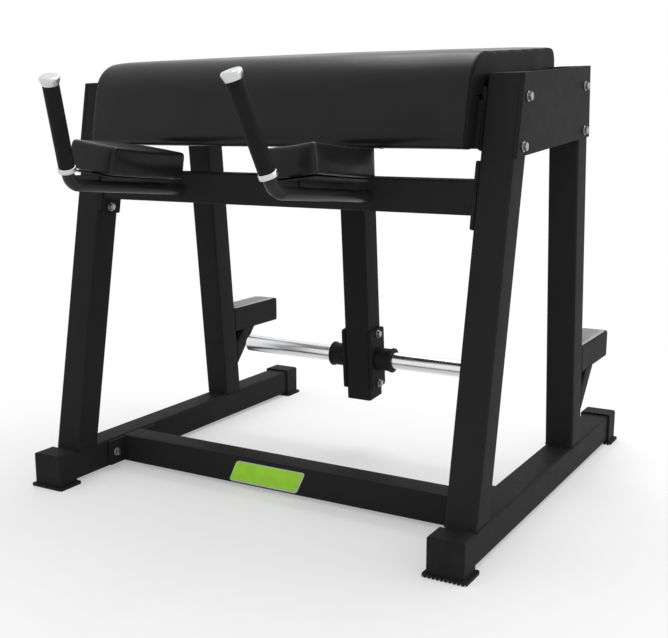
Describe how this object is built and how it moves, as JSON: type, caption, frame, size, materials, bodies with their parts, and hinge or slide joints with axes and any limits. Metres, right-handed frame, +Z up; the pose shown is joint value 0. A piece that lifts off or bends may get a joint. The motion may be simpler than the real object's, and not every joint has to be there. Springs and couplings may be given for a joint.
{
  "type": "reverse hyper machine",
  "caption": "Padded bench on a black four-legged tube frame, with a swinging weight pendulum under it, elbow rests with upright handles in front and steps at the back.",
  "frame": {"origin": "middle of the floor under the machine, at the centre of the bounding box", "axes": "+X to the side that is on the right when the machine is seen from its handles, +Y from the handles to the steps, +Z up"},
  "size_m": [1.3172, 1.5412, 1.1929],
  "materials": {
    "frame_black": "satin black powder coat",
    "pad_vinyl": "black upholstery vinyl",
    "elbow_vinyl": "black upholstery vinyl",
    "grip_rubber": "matt black rubber grip",
    "foot_rubber": "matt black rubber",
    "bumper_rubber": "matt black rubber",
    "horn_chrome": "polished chrome plate",
    "polished_collar": "bright turned aluminium",
    "zinc_fastener": "zinc plated steel",
    "tread_grip": "grey anti-slip tread strip",
    "board_wood": "black stained plywood",
    "bush_bronze": "plain bronze bush"
  },
  "bodies": {
    "frame": {"base_runner_left": "frame_black", "foot_front_left": "foot_rubber", "foot_rear_left": "foot_rubber", "base_runner_right": "frame_black", "foot_front_right": "foot_rubber", "foot_rear_right": "foot_rubber", "base_cross_tube": "frame_black", "front_leg_left": "frame_black", "rear_leg_left": "frame_black", "side_plate_left": "frame_black", "front_leg_right": "frame_black", "rear_leg_right": "frame_black", "side_plate_right": "frame_black", "front_cross_member": "frame_black", "rear_cross_member": "frame_black", "front_beam": "frame_black", "seat_bolt_front_lower_left": "zinc_fastener", "seat_bolt_front_upper_left": "zinc_fastener", "seat_bolt_rear_lower_left": "zinc_fastener", "seat_bolt_rear_upper_left": "zinc_fastener", "beam_bolt_lower_left": "zinc_fastener", "beam_bolt_upper_left": "zinc_fastener", "base_bolt_front_left": "zinc_fastener", "base_bolt_rear_left": "zinc_fastener", "seat_bolt_front_lower_right": "zinc_fastener", "seat_bolt_front_upper_right": "zinc_fastener", "seat_bolt_rear_lower_right": "zinc_fastener", "seat_bolt_rear_upper_right": "zinc_fastener", "beam_bolt_lower_right": "zinc_fastener", "beam_bolt_upper_right": "zinc_fastener", "base_bolt_front_right": "zinc_fastener", "base_bolt_rear_right": "zinc_fastener", "main_pad": "pad_vinyl", "pad_board": "board_wood", "elbow_arm_left": "frame_black", "elbow_pad_left": "elbow_vinyl", "handle_collar_left": "polished_collar", "handle_grip_left": "grip_rubber", "handle_cap_left": "polished_collar", "step_bracket_left": "frame_black", "step_tread_left": "tread_grip", "elbow_arm_right": "frame_black", "elbow_pad_right": "elbow_vinyl", "handle_collar_right": "polished_collar", "handle_grip_right": "grip_rubber", "handle_cap_right": "polished_collar", "step_bracket_right": "frame_black", "step_tread_right": "tread_grip", "pivot_hanger_left": "frame_black", "pivot_hanger_right": "frame_black", "pivot_shaft": "zinc_fastener"},
    "pendulum": {"pendulum_arm": "frame_black", "weight_horn_left": "horn_chrome", "horn_bumper_left": "bumper_rubber", "pivot_bush_left": "bush_bronze", "weight_horn_right": "horn_chrome", "horn_bumper_right": "bumper_rubber", "pivot_bush_right": "bush_bronze", "horn_bolt_lower": "zinc_fastener", "horn_bolt_upper": "zinc_fastener"}
  },
  "joints": [
    {"name": "pendulum_swing", "type": "hinge", "parent": "frame", "child": "pendulum", "pos_m": [0, 0.24971, 0.95403], "axis": [1, 0, 0], "range_deg": [-45, 85]}
  ]
}
